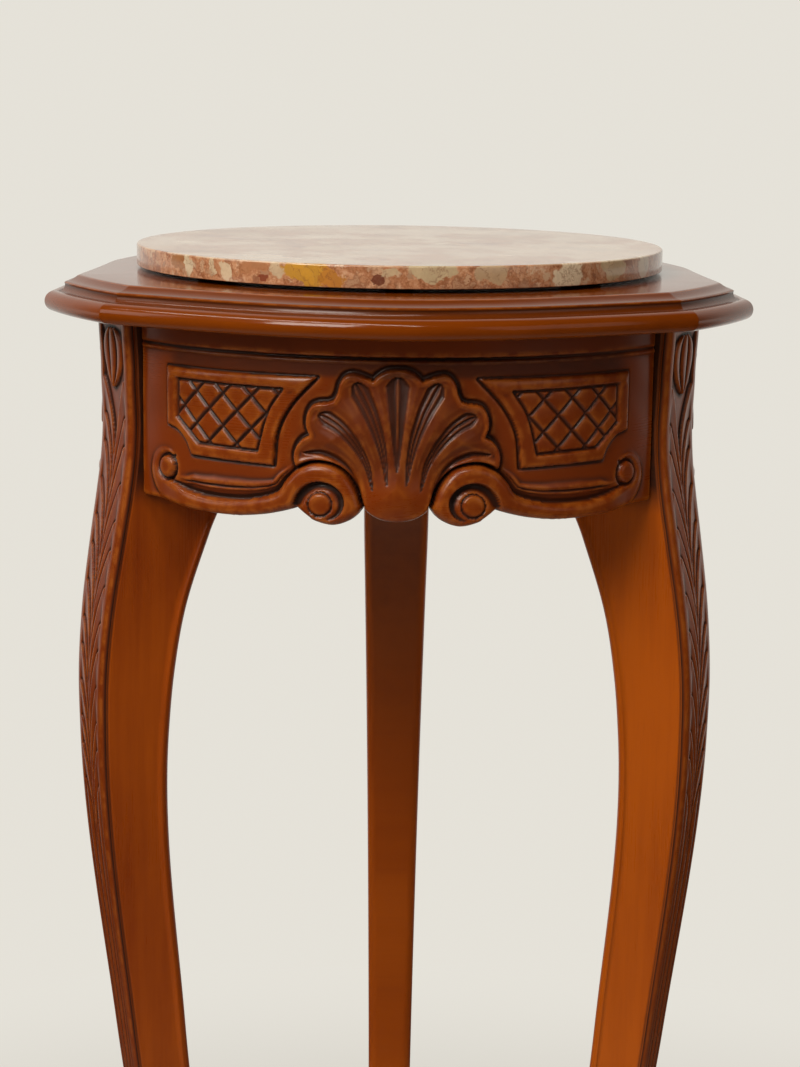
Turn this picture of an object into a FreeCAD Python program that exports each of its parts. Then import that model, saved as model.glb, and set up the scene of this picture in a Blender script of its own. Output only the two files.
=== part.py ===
# Tripod pedestal stand: a loose round marble on a moulded wooden top, three bowed aprons and
# three cabriole legs, held together by dowels, corner braces, hanger bolts and screws.
# Millimetres, +Z up, the floor at z = 0 and the axis of threefold symmetry along Z.
import FreeCAD, Part
import math
import os
from collections import namedtuple

Vector = FreeCAD.Vector
UP = Vector(0, 0, 1)
CENTRE = Vector(0, 0, 0)

# Overall size and layout
overall_height = 780.0
leg_angles = {"front_left": 210.0, "front_right": 330.0, "back": 90.0}
apron_angles = {"front": 270.0, "back_right": 30.0, "back_left": 150.0}

# Loose marble disc and the pads that it rests on
marble_diameter = 250.0
marble_thickness = 10.0
marble_arris = 1.0
pad_count = 6
pad_diameter = 12.0
pad_thickness = 2.0
pad_inset = 25.0

# Plan of the top board's flat: reach beyond the aprons' faces along a bowed side and beyond the
# posts' faces at a corner, and angles from the middle of the side
side_middle_reach = 5.0
side_hollow_reach = 0.5
side_hollow_angle = 37.0
crease_reach = 7.0
crease_angle = 49.5
corner_middle_reach = 8.0
half_third = 60.0

# Moulded edge of the top board, from the flat down to the underside
slope_run = 5.0
slope_drop = 3.2
quirk_inset = 1.0
quirk_height = 1.0
bullnose_overhang = 15.0
bullnose_radius = 6.0
bullnose_flat = 0.2

# Bowed aprons and the raised ground of their carving
apron_height = 80.0
apron_face_radius = 145.0
apron_thickness = 18.0
shell_radius = 53.0
shell_centre_rise = 15.0
volute_radius = 12.5
volute_spacing = 66.0
volute_rise = 12.5
carving_relief = 5.0

# Leg post, the square upper end of each leg between two aprons, proud of their faces
post_width = 36.0
post_proud = 4.0
post_depth = 50.0

# Heights along the cabriole leg: drops below the aprons, and the ankle above the floor
shoulder_drop = 55.0
knee_drop = 112.0
upper_shin_drop = 258.0
ankle_height = 125.0

# Stations of the leg: how far its front stands forward of the post's face, its depth from front
# to back, and the widths of its front and back
Station = namedtuple("Station", "forward depth front_width back_width")
shoulder = Station(forward=10.5, depth=40.0, front_width=31.0, back_width=34.5)
knee = Station(forward=13.5, depth=35.0, front_width=27.0, back_width=32.0)
upper_shin = Station(forward=-2.0, depth=28.5, front_width=19.5, back_width=26.0)
lower_shin = Station(forward=-23.0, depth=24.5, front_width=18.0, back_width=22.0)
ankle = Station(forward=-36.0, depth=24.0, front_width=18.0, back_width=21.0)

# Scroll foot: a roll at the toe behind the post's face, the crease where the shin runs into it,
# and the sole from the middle of the roll to the heel
toe_roll_diameter = 28.0
toe_set_back = 22.0
toe_crease_angle = 140.0
sole_length = 24.0
toe_width = 28.0
heel_width = 24.0

# How far the flanks are drawn past the leg's innermost back and outermost front
flank_margin = 10.0

# Glides nailed under the feet
glide_diameter = 18.0
glide_thickness = 3.0
glide_nail_diameter = 2.5
glide_nail_length = 14.0

# Dowels between aprons and legs, inside the middle of the aprons because these are bowed
dowel_diameter = 6.0
dowel_length = 30.0
dowel_depth_in_leg = 13.0
dowel_rises = (18.0, 44.0)
dowel_inset = 4.0

# Corner braces behind the legs, longer than the gap between the aprons by a reach at each end
brace_height = 35.0
brace_depth = 24.0
brace_end_reach = 10.5

# Hanger bolts, washers and nuts
bolt_diameter = 8.0
bolt_depth_in_leg = 30.0
bolt_tail = 14.0
bolt_hole_play = 0.5
washer_diameter = 24.0
washer_thickness = 2.0
nut_sides = 6
nut_across_flats = 13.0
nut_height = 6.5

# Screws
screw_diameter = 4.0
screw_head_diameter = 8.0
screw_head_height = 3.0
top_screw_depth = 10.0
top_screw_spacing = 90.0
brace_screw_depth = 9.0
brace_screw_recess = 4.5
head_pocket_play = 0.3

# Clearance round every pin, thread and dowel in its own hole
hole_clearance = 0.05

# Heights and radii worked out from the sizes above
marble_bottom = overall_height - marble_thickness
top_face = marble_bottom - pad_thickness
top_thickness = slope_drop + quirk_height + 2 * bullnose_radius + bullnose_flat
frame_top = top_face - top_thickness
apron_bottom = frame_top - apron_height
foot_bottom = glide_thickness
brace_bottom = frame_top - brace_height
bolt_height = frame_top - brace_height / 2
apron_back_radius = apron_face_radius - apron_thickness
post_face_radius = apron_face_radius + post_proud
post_back_radius = post_face_radius - post_depth
brace_back_radius = post_back_radius - brace_depth
toe_roll_radius = post_face_radius - toe_set_back
heel_radius = toe_roll_radius - sole_length
dowel_radius_from_axis = apron_back_radius + apron_thickness / 2 - dowel_inset
side_middle_radius = apron_face_radius + side_middle_reach
side_hollow_radius = apron_face_radius + side_hollow_reach
crease_radius = post_face_radius + crease_reach
corner_middle_radius = post_face_radius + corner_middle_reach

# A brace meets the back of each apron between two angles, and its screw goes in midway
brace_half_length = math.sqrt(apron_back_radius ** 2 - post_back_radius ** 2) + brace_end_reach
brace_front_angle = math.degrees(math.acos(post_back_radius / apron_back_radius))
brace_end_angle = math.degrees(math.asin(brace_half_length / apron_back_radius))
brace_screw_angle = (brace_front_angle + brace_end_angle) / 2


def polar(radius, angle, height=0.0):
    """Point at a radius and an angle in degrees round the axis."""
    turn = math.radians(angle)
    return Vector(radius * math.cos(turn), radius * math.sin(turn), height)


def turned(shape, angle):
    """Copy of a shape turned about the stand's axis by an angle in degrees."""
    copy = shape.copy()
    copy.rotate(CENTRE, UP, angle)
    return copy


def rod(diameter, start, end):
    """Round bar of a given diameter from one point to another."""
    along = end - start
    return Part.makeCylinder(diameter / 2, along.Length, start, along)


def line(start, end):
    return Part.LineSegment(start, end).toShape()


def curve(points):
    """Smooth curve through hand-set points."""
    spline = Part.BSplineCurve()
    spline.interpolate(points)
    return spline.toShape()


def group(solids):
    return Part.Compound(solids)


def save(name, shape):
    shape.exportStep(f"parts/{name}.step")


# Marble and pads
def marble_top():
    disc = Part.makeCylinder(marble_diameter / 2, marble_thickness, Vector(0, 0, marble_bottom))
    rims = [edge for edge in disc.Edges if len(edge.Vertexes) == 1]
    return disc.makeFillet(marble_arris, rims)


def marble_pads():
    step = 360.0 / pad_count
    places = [polar(marble_diameter / 2 - pad_inset, step * (i + 0.5), top_face) for i in range(pad_count)]
    return group([Part.makeCylinder(pad_diameter / 2, pad_thickness, place) for place in places])


# Top board
def top_outline(overhang, height):
    """Closed plan outline: three bowed sides with hollow ends, joined by three short corners."""
    edges = []
    side_plan = (
        (-crease_angle, crease_radius),
        (-side_hollow_angle, side_hollow_radius),
        (0.0, side_middle_radius),
        (side_hollow_angle, side_hollow_radius),
        (crease_angle, crease_radius),
    )
    for side_angle in apron_angles.values():
        side = [polar(radius + overhang, side_angle + turn, height) for turn, radius in side_plan]
        corner_middle = polar(corner_middle_radius + overhang, side_angle + half_third, height)
        next_start = polar(crease_radius + overhang, side_angle + 2 * half_third - crease_angle, height)
        edges.append(curve(side))
        edges.append(Part.Arc(side[-1], corner_middle, next_start).toShape())
    return Part.Wire(edges)


def moulded_top():
    slope_bottom = top_face - slope_drop
    slope = Part.makeLoft([top_outline(slope_run, slope_bottom), top_outline(0.0, top_face)], True, True)
    quirk_bottom = slope_bottom - quirk_height
    quirk_face = Part.Face(top_outline(slope_run - quirk_inset, quirk_bottom))
    quirk = quirk_face.extrude(UP * quirk_height)
    nose_face = Part.Face(top_outline(bullnose_overhang, frame_top))
    nose = nose_face.extrude(UP * (quirk_bottom - frame_top))
    level = [edge for edge in nose.Edges if edge.BoundBox.ZLength < bullnose_flat]
    nose = nose.makeFillet(bullnose_radius, level)
    board = slope.fuse([quirk, nose]).removeSplitter()
    return board.cut([turned(screw, angle) for angle in leg_angles.values() for screw in top_screw_holes()])


# Aprons
def apron_ring(back_radius, face_radius, bottom, top):
    outside = Part.makeCylinder(face_radius, top - bottom, Vector(0, 0, bottom))
    return outside.cut(Part.makeCylinder(back_radius, top - bottom, Vector(0, 0, bottom)))


def between_legs():
    """Wedge of space on the +X side that two neighbouring legs leave free."""
    reach = 2 * post_face_radius
    inner = polar(post_width / 2 / math.sin(math.radians(half_third)), 0)
    near_side = inner + polar(reach, -half_third)
    far_side = inner + polar(reach, half_third)
    beyond = Vector(2 * reach, 0, 0)
    plan = Part.Wire(Part.makePolygon([inner, near_side, beyond, far_side, inner]))
    return Part.Face(plan).extrude(UP * overall_height)


def apron_at_x():
    """One apron with its middle on the +X side: bowed board with raised shell and volutes."""
    board = apron_ring(apron_back_radius, apron_face_radius, apron_bottom, frame_top)
    relief = apron_ring(apron_back_radius, apron_face_radius + carving_relief, apron_bottom, frame_top)
    start = Vector(apron_back_radius / 2, 0, 0)
    end = Vector(2 * apron_face_radius, 0, 0)
    shell_lift = Vector(0, 0, apron_bottom + shell_centre_rise)
    raised = [rod(2 * shell_radius, start + shell_lift, end + shell_lift)]
    for side in (-1, 1):
        place = Vector(0, side * volute_spacing / 2, apron_bottom + volute_rise)
        raised.append(rod(2 * volute_radius, start + place, end + place))
    carving = relief.common(raised[0].fuse(raised[1:]))
    return board.fuse(carving).common(between_legs()).removeSplitter()


def apron(angle):
    drills = [turned(dowel, leg - angle) for leg in leg_angles.values() for dowel in dowel_holes()]
    drills += [turned(hole, leg - angle) for leg in leg_angles.values() for hole in brace_screw_holes()]
    return turned(apron_at_x().cut(drills), angle)


# Dowels: drawn for the leg on the +X side, two on each flank
def dowel_rods(diameter):
    rods = []
    for flank in (-1, 1):
        inner_end = flank * (post_width / 2 - dowel_depth_in_leg)
        outer_end = inner_end + flank * dowel_length
        for rise in dowel_rises:
            start = Vector(dowel_radius_from_axis, inner_end, apron_bottom + rise)
            end = Vector(dowel_radius_from_axis, outer_end, apron_bottom + rise)
            rods.append(rod(diameter, start, end))
    return rods


def dowel_holes():
    return dowel_rods(dowel_diameter + 2 * hole_clearance)


# Legs: drawn on the +X side, x is the radius and y the width
Section = namedtuple("Section", "height front back front_width back_width")


def leg_sections():
    """Sections of the leg from its shoulder down to its ankle, the lower shin midway on the shin."""
    upper_shin_height = apron_bottom - upper_shin_drop
    places = (
        (apron_bottom - shoulder_drop, shoulder),
        (apron_bottom - knee_drop, knee),
        (upper_shin_height, upper_shin),
        ((upper_shin_height + ankle_height) / 2, lower_shin),
        (ankle_height, ankle),
    )
    sections = []
    for height, s in places:
        front = post_face_radius + s.forward
        sections.append(Section(height, front, front - s.depth, s.front_width, s.back_width))
    return sections


def leg_side_view():
    """Outline of the leg seen from its side, in the XZ plane."""
    sections = leg_sections()
    front_top = Vector(post_face_radius, 0, frame_top)
    front_start = Vector(post_face_radius, 0, apron_bottom)
    roll = toe_roll_diameter / 2
    crease_turn = math.radians(toe_crease_angle)
    roll_centre = Vector(toe_roll_radius, 0, foot_bottom + roll)
    crease = roll_centre + Vector(math.cos(crease_turn), 0, math.sin(crease_turn)) * roll
    toe_tip = roll_centre + Vector(roll, 0, 0)
    sole_front = roll_centre - UP * roll
    front_points = [front_start] + [Vector(s.front, 0, s.height) for s in sections] + [crease]
    sole_back = Vector(heel_radius, 0, foot_bottom)
    back_end = Vector(post_back_radius, 0, apron_bottom)
    back_points = [sole_back] + [Vector(s.back, 0, s.height) for s in reversed(sections)] + [back_end]
    back_top = Vector(post_back_radius, 0, frame_top)
    return Part.Wire([
        line(front_top, front_start),
        curve(front_points),
        Part.Arc(crease, toe_tip, sole_front).toShape(),
        line(sole_front, sole_back),
        curve(back_points),
        line(back_end, back_top),
        line(back_top, front_top),
    ])


def leg_front_view(plane):
    """Outline of the leg seen from its front, where its flanks cut a plane of constant x."""
    post = Section(apron_bottom, post_face_radius, post_back_radius, post_width, post_width)
    toe_tip = toe_roll_radius + toe_roll_diameter / 2
    foot = Section(foot_bottom, toe_tip, heel_radius, toe_width, heel_width)
    left = []
    for s in [post] + leg_sections() + [foot]:
        taper = (s.front_width - s.back_width) / (s.front - s.back)
        width = s.back_width + taper * (plane - s.back)
        left.append(Vector(plane, -width / 2, s.height))
    right = [Vector(p.x, -p.y, p.z) for p in reversed(left)]
    left_top = Vector(plane, -post_width / 2, frame_top)
    right_top = Vector(plane, post_width / 2, frame_top)
    return Part.Wire([
        line(left_top, left[0]),
        curve(left),
        line(left[-1], right[0]),
        curve(right),
        line(right[-1], right_top),
        line(right_top, left_top),
    ])


def leg_blank():
    """Leg sawn from its side view, then from its front view with tapered flanks."""
    sideways = Vector(0, post_width, 0)
    from_side = Part.Face(leg_side_view()).extrude(sideways)
    from_side.translate(-sideways / 2)
    sections = leg_sections()
    innermost = min(s.back for s in sections) - flank_margin
    outermost = max(s.front for s in sections) + flank_margin
    from_front = Part.makeLoft([leg_front_view(innermost), leg_front_view(outermost)], True, True)
    return from_side.common(from_front)


def leg():
    """Leg with the holes for its dowels, hanger bolt and glide nail."""
    bolt_end = Vector(post_back_radius + bolt_depth_in_leg, 0, bolt_height)
    bolt_hole = rod(bolt_diameter + 2 * hole_clearance, Vector(0, 0, bolt_height), bolt_end)
    nail_foot = Vector(glide_place().x, 0, 0)
    nail_hole = rod(glide_nail_diameter + 2 * hole_clearance, nail_foot, nail_foot + UP * glide_nail_top())
    return leg_blank().cut(dowel_holes() + [bolt_hole, nail_hole])


# Foot glides
def glide_place():
    return Vector((heel_radius + toe_roll_radius) / 2, 0, 0)


def glide_nail_top():
    return glide_thickness + glide_nail_length


def foot_glide():
    base = Part.makeCylinder(glide_diameter / 2, glide_thickness, glide_place())
    nail = rod(glide_nail_diameter, glide_place(), glide_place() + UP * glide_nail_top())
    return base.fuse(nail).removeSplitter()


# Corner braces and what goes through them, drawn for the leg on the +X side
def brace_screw_points():
    """Start of the head, start of the shank and tip of both screws into the aprons."""
    head_seat = (brace_back_radius + brace_screw_recess) / math.cos(math.radians(brace_screw_angle))
    radii = (head_seat - screw_head_height, head_seat, apron_back_radius + brace_screw_depth)
    return [[polar(r, side * brace_screw_angle, bolt_height) for r in radii] for side in (-1, 1)]


def top_screw_points():
    """Start of the head, start of the shank and tip of both screws into the top board."""
    middle = (brace_back_radius + post_back_radius) / 2
    heights = (brace_bottom - screw_head_height, brace_bottom, frame_top + top_screw_depth)
    return [[Vector(middle, side * top_screw_spacing / 2, z) for z in heights] for side in (-1, 1)]


def screw(points):
    head_start, shank_start, tip = points
    head = rod(screw_head_diameter, head_start, shank_start)
    return head.fuse(rod(screw_diameter, shank_start, tip)).removeSplitter()


def screw_hole(points):
    return rod(screw_diameter + 2 * hole_clearance, points[1], points[2])


def top_screw_holes():
    return [screw_hole(points) for points in top_screw_points()]


def brace_screw_holes():
    return [screw_hole(points) for points in brace_screw_points()]


def head_pocket(points):
    """Recess from the brace's back to the seat of a screw head."""
    inward = (points[0] - points[1]).normalize()
    return rod(screw_head_diameter + 2 * head_pocket_play, points[1] + inward * brace_depth, points[1])


def corner_brace():
    batten = Part.makeBox(brace_depth, 2 * brace_half_length, brace_height,
                          Vector(brace_back_radius, -brace_half_length, brace_bottom))
    inside = Part.makeCylinder(apron_back_radius, brace_height, Vector(0, 0, brace_bottom))
    bolt_hole = rod(bolt_diameter + 2 * bolt_hole_play, Vector(0, 0, bolt_height),
                    Vector(post_face_radius, 0, bolt_height))
    pockets = [head_pocket(points) for points in brace_screw_points()]
    return batten.common(inside).cut(top_screw_holes() + brace_screw_holes() + pockets + [bolt_hole])


def hanger_bolt():
    start = Vector(brace_back_radius - bolt_tail, 0, bolt_height)
    end = Vector(post_back_radius + bolt_depth_in_leg, 0, bolt_height)
    return rod(bolt_diameter, start, end)


def ring_on_bolt(blank):
    hole = rod(bolt_diameter + 2 * hole_clearance, Vector(0, 0, bolt_height),
               Vector(post_back_radius, 0, bolt_height))
    return blank.cut(hole)


def bolt_washer():
    seat = Vector(brace_back_radius, 0, bolt_height)
    return ring_on_bolt(rod(washer_diameter, seat - Vector(washer_thickness, 0, 0), seat))


def bolt_nut():
    back = brace_back_radius - washer_thickness - nut_height
    corner_radius = nut_across_flats / 2 / math.cos(math.pi / nut_sides)
    corners = []
    for i in range(nut_sides + 1):
        turn = 2 * math.pi * i / nut_sides
        corners.append(Vector(back, corner_radius * math.cos(turn), bolt_height + corner_radius * math.sin(turn)))
    return ring_on_bolt(Part.Face(Part.makePolygon(corners)).extrude(Vector(nut_height, 0, 0)))


def at_each_leg(pieces):
    """Group of small pieces repeated at the three legs."""
    return group([turned(piece, angle) for angle in leg_angles.values() for piece in pieces])


def main():
    os.makedirs("parts", exist_ok=True)
    save("marble_top", marble_top())
    save("marble_pads", marble_pads())
    save("moulded_top", moulded_top())
    for name, angle in apron_angles.items():
        save(f"apron_{name}", apron(angle))
    for name, angle in leg_angles.items():
        save(f"leg_{name}", turned(leg(), angle))
        save(f"corner_brace_{name}", turned(corner_brace(), angle))
        save(f"foot_glide_{name}", turned(foot_glide(), angle))
    save("apron_dowels", at_each_leg(dowel_rods(dowel_diameter)))
    save("hanger_bolts", at_each_leg([hanger_bolt()]))
    save("bolt_washers", at_each_leg([bolt_washer()]))
    save("bolt_nuts", at_each_leg([bolt_nut()]))
    save("brace_screws", at_each_leg([screw(points) for points in brace_screw_points()]))
    save("top_screws", at_each_leg([screw(points) for points in top_screw_points()]))


main()
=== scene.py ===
# Looks of the tripod pedestal stand: carved aprons and legs, moulded top, marble disc and finishes.
# Shapes are worked out in millimetres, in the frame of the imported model, and turned into metres as
# meshes are made.
import math

import bpy
import numpy as np
from mathutils import Matrix, Vector


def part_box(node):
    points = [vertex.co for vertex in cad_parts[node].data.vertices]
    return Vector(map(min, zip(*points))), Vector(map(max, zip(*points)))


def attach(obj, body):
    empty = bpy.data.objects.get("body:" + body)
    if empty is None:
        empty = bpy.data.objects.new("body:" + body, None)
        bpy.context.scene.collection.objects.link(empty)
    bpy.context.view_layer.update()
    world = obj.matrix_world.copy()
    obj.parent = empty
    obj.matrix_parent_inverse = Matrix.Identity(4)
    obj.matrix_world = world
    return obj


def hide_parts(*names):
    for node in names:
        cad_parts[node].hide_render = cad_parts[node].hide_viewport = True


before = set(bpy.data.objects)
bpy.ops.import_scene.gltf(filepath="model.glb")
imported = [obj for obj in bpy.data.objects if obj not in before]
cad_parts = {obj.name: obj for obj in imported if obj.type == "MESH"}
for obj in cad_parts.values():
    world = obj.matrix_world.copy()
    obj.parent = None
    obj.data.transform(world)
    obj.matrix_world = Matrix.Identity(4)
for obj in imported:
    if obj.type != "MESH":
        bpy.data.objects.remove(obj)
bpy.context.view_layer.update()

MM = 0.001


def cad_corners(node):
    """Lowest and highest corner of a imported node, in millimetres."""
    low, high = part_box(node)
    return np.array(low) / MM, np.array(high) / MM


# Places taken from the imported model
marble_low, marble_high = cad_corners("marble_top")
marble_radius = (marble_high[0] - marble_low[0]) / 2
board_low, board_high = cad_corners("moulded_top")
top_face = board_high[2]
frame_top = board_low[2]
apron_bottom = cad_corners("apron_front")[0][2]
foot_bottom = cad_corners("leg_back")[0][2]

# Threefold plan: angles of the legs and of the aprons' middles about the axis, in degrees, and the
# sizes of posts and aprons
leg_angles = {"front_left": 210.0, "front_right": 330.0, "back": 90.0}
apron_angles = {"front": 270.0, "back_right": 30.0, "back_left": 150.0}
half_sector = 60.0
post_width = 34.8
post_back_radius = 99.0
apron_back_radius = 127.0
apron_thickness = 18.0

# Tone of each leg against the middle tone of the wood, partly painted light: the front right leg, whose
# visible flank faces the light, is made lighter and the front left leg darker than the lamps alone make them
leg_tones_and_light = {"front_left": -0.07, "front_right": 0.12, "back": 0.03}

# Small tools for shapes, and the spacing of the grids that are carved
carving_cell = 0.5


def smooth_step(low, high, x):
    """0 below low, 1 above high, with a soft slope between them."""
    t = np.clip((x - low) / (high - low), 0.0, 1.0)
    return t * t * (3.0 - 2.0 * t)


def quarter_round(depth, reach):
    """Rises from 0 at an outline to 1 at a depth of reach inside it, like a rounded edge."""
    t = np.clip(depth / reach, 0.0, 1.0)
    return np.sqrt(1.0 - (1.0 - t) ** 2)


def bead(offset, half_width):
    """Half-round: 1 on its crown and 0 from its edges outward."""
    return np.sqrt(np.clip(1.0 - (offset / half_width) ** 2, 0.0, 1.0))


def gouge(offset, half_width):
    """Soft groove: 1 along its middle, fading to 0 at its edges."""
    t = np.clip(np.abs(offset) / half_width, 0.0, 1.0)
    return (1.0 - t * t) ** 2


def smooth_curve(points):
    """Catmull-Rom curve through given points, as a polyline."""
    steps = 10
    p = np.array(points, float)
    p = np.vstack([2 * p[0] - p[1], p, 2 * p[-1] - p[-2]])
    t = np.linspace(0.0, 1.0, steps, endpoint=False)[:, None]
    runs = []
    for a, b, c, d in zip(p[:-3], p[1:-2], p[2:-1], p[3:]):
        runs.append(0.5 * (2 * b + (c - a) * t + (2 * a - 5 * b + 4 * c - d) * t ** 2
                           + (3 * b - a - 3 * c + d) * t ** 3))
    runs.append(p[-2][None, :])
    return np.vstack(runs)


def cubic_through(x, y, at):
    """Cubic curve through given points, level at the first two, with slopes from neighbours beyond."""
    steps = np.diff(x)
    slopes = np.diff(y) / steps
    tangent = np.zeros_like(y)
    tangent[1:-1] = (slopes[:-1] * steps[1:] + slopes[1:] * steps[:-1]) / (steps[1:] + steps[:-1])
    tangent[1] = 0.0
    tangent[-1] = slopes[-1]
    i = np.clip(np.searchsorted(x, at, "right") - 1, 0, len(x) - 2)
    t = (at - x[i]) / steps[i]
    a, b = y[i], y[i + 1]
    slope_a, slope_b = tangent[i] * steps[i], tangent[i + 1] * steps[i]
    return (a * (2 * t ** 3 - 3 * t ** 2 + 1) + slope_a * (t ** 3 - 2 * t ** 2 + t)
            + b * (3 * t ** 2 - 2 * t ** 3) + slope_b * (t ** 3 - t ** 2))


def path_distance(path, x, y):
    """Distance of grid points from a polyline, its sign on the path's left, and how far along, 0 to 1."""
    best = np.full(x.shape, np.inf)
    side = np.ones(x.shape)
    along = np.zeros(x.shape)
    lengths = np.hypot(*np.diff(path, axis=0).T)
    starts = np.concatenate([[0.0], np.cumsum(lengths)])
    for i, (a, b) in enumerate(zip(path[:-1], path[1:])):
        if lengths[i] == 0.0:
            continue
        dx, dy = b - a
        t = np.clip(((x - a[0]) * dx + (y - a[1]) * dy) / (lengths[i] ** 2), 0.0, 1.0)
        ox = x - a[0] - t * dx
        oy = y - a[1] - t * dy
        distance = np.hypot(ox, oy)
        nearer = distance < best
        best = np.where(nearer, distance, best)
        side = np.where(nearer, np.sign(dx * oy - dy * ox), side)
        along = np.where(nearer, (starts[i] + t * lengths[i]) / starts[-1], along)
    return best, side, along


def outline_depth(outline, x, y):
    """Depth of grid points inside a closed outline, negative outside it."""
    ring = np.vstack([outline, outline[0]])
    distance = path_distance(ring, x, y)[0]
    inside = np.zeros(x.shape, bool)
    for (ax, ay), (bx, by) in zip(ring[:-1], ring[1:]):
        if ay == by:
            continue
        crossing = ((ay > y) != (by > y)) & (x < ax + (y - ay) * (bx - ax) / (by - ay))
        inside ^= crossing
    return np.where(inside, distance, -distance)


def blurred(height, cells):
    """Height-field averaged over a square of cells, three times, which is close to a Gaussian blur."""
    reach = max(1, int(round(cells)))
    for axis in (0, 1, 0, 1, 0, 1):
        padded = np.pad(height, [(reach + 1, reach) if a == axis else (0, 0) for a in (0, 1)], "edge")
        total = np.cumsum(padded, axis=axis)
        upper = np.take(total, range(2 * reach + 1, total.shape[axis]), axis=axis)
        lower = np.take(total, range(0, total.shape[axis] - 2 * reach - 1), axis=axis)
        height = (upper - lower) / (2 * reach + 1)
    return height


def patina(height):
    """Hollows that hold dark wax and crests that are rubbed light, both 0 to 1, from a height-field."""
    fine_reach, wide_reach = 0.9, 2.6
    fine_full, wide_full = 0.22, 3.0
    near = blurred(height, fine_reach / carving_cell)
    wide = blurred(height, wide_reach / carving_cell)
    hollow = np.clip(np.maximum((near - height) / fine_full, (wide - height) / wide_full), 0.0, 1.0)
    crest = np.clip((height - near) / fine_full, 0.0, 1.0)
    return hollow, crest


# Carving of an apron, in millimetres on its unrolled face: along from the middle and up from its
# lowest level. Both halves are alike, so it is drawn on the right half only.
edge_below_apron = 1.2
carving_base = apron_bottom - edge_below_apron
apron_rise = frame_top - carving_base
ground_radii = {"front": 143.9, "back_right": 141.0, "back_left": 141.0}
carving_radius = 141.0
apron_end_gap = 0.3
half_post_turn = math.asin((post_width / 2 + apron_end_gap) / ground_radii["front"])
apron_half_length = carving_radius * (math.radians(half_sector) - half_post_turn)

fascia_foot = 72.0
fascia_groove = 71.6
fascia_lip = 70.0
moulding_groove = smooth_curve([
    (106.2, 22.8), (110.6, 23.6), (115.2, 21.4), (116.4, 16.8), (113.8, 12.8), (109.0, 11.4),
    (103.4, 10.0), (97.0, 8.2), (84.1, 6.7), (69.6, 7.3), (58.8, 9.4), (51.0, 12.8), (47.2, 18.2),
    (41.7, 23.6), (35.2, 26.4), (27.6, 26.0), (21.5, 22.4), (17.0, 15.8), (14.1, 7.8)])
volute_under = smooth_curve([
    (14.1, 7.8), (16.0, 4.4), (20.5, 1.0), (26.9, -1.0), (34.6, 0.6), (39.6, 3.7), (43.0, 5.7)])
rail_under = smooth_curve([(43.0, 5.7), (51.0, 3.3), (60.6, 1.2), (74.3, -0.3), (94.6, -0.2), (108.6, 1.2)])
rail_tail = smooth_curve([
    (108.6, 1.2), (115.6, 4.0), (120.4, 9.4), (122.2, 16.2), (120.2, 22.4), (114.8, 26.0), (109.4, 25.6),
    (106.2, 22.8)])
scroll_outline = np.vstack([moulding_groove, volute_under[1:], rail_under[1:], rail_tail[1:-1]])
shell_lobes = [
    [(0.0, 67.4), (4.6, 66.8), (8.2, 64.8), (10.2, 62.6)],
    [(10.2, 62.6), (13.6, 63.9), (18.2, 65.2), (21.8, 64.4), (24.2, 61.0), (25.2, 57.0), (26.6, 53.9)],
    [(26.6, 53.9), (29.6, 52.7), (33.2, 52.4), (36.2, 50.8), (38.1, 47.0), (38.4, 42.4), (37.0, 38.2)],
    [(37.0, 38.2), (40.2, 36.2), (42.7, 32.8), (43.6, 28.4), (42.6, 23.4)]]
knob_under = smooth_curve([(14.1, 7.8), (11.8, 5.2), (7.8, 2.7), (3.6, 1.6), (0.0, 1.3)])
flute_paths = [
    [(0.0, 64.4), (0.0, 44.0), (0.0, 24.0)],
    [(17.6, 61.6), (14.4, 55.6), (10.8, 48.4), (7.2, 38.1), (4.9, 27.2), (4.0, 18.5)],
    [(32.8, 47.4), (28.0, 45.2), (22.6, 41.6), (16.8, 34.8), (12.2, 26.2), (9.8, 16.0)]]
flute_half_widths = [5.4, 4.5, 3.9]
flute_ridges = [(0.0,), (-0.30, 0.34), (-0.30, 0.34)]
crescent_path = smooth_curve([(39.0, 30.6), (30.6, 30.8), (22.6, 26.6), (17.0, 18.8), (14.4, 9.6)])
spiral_groove = smooth_curve([
    (42.4, 3.8), (41.2, 7.8), (39.0, 12.2), (35.6, 15.2), (31.6, 16.2), (27.4, 15.1), (24.4, 12.2),
    (23.5, 8.2), (24.8, 4.8), (27.4, 2.9), (29.8, 2.6)])
volute_eye = (31.8, 8.4)
eye_radius = 5.5
tail_roll = (110.9, 17.4)
tail_roll_radius = 4.8
lozenge_pitch = 14.3
lozenge_corner = (71.3, 46.1)


def fascia(height, side, up):
    """Plain band under the top, over a groove that fades towards its ends and has a fine lip below it."""
    fading = smooth_step(45.0, 100.0, side)
    height = height + 0.4 * smooth_step(fascia_foot, fascia_foot + 1.0, up)
    height = height - (1.7 - 1.4 * fading) * gouge(up - fascia_groove, 1.1 - 0.3 * fading)
    return height + 0.45 * gouge(up - fascia_lip, 1.0)


def trellis_grooves(side, up):
    """Depth of grid points inside the field of lozenges, and their distance from its nearest groove."""
    field_end = smooth_curve([(49.4, 57.2), (56.2, 46.4), (61.0, 29.4)])
    field = np.vstack([field_end, [(91.2, 30.2), (103.7, 40.8), (103.6, 57.6)]])
    field_depth = outline_depth(field, side, up)
    from_groove = field_depth
    for slant in (1.0, -1.0):
        crossed = (side - lozenge_corner[0] + slant * (up - lozenge_corner[1])) / lozenge_pitch
        from_line = np.abs(crossed - np.round(crossed)) * lozenge_pitch / math.sqrt(2.0)
        from_groove = np.minimum(from_groove, from_line)
    return field_depth, from_groove


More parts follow.
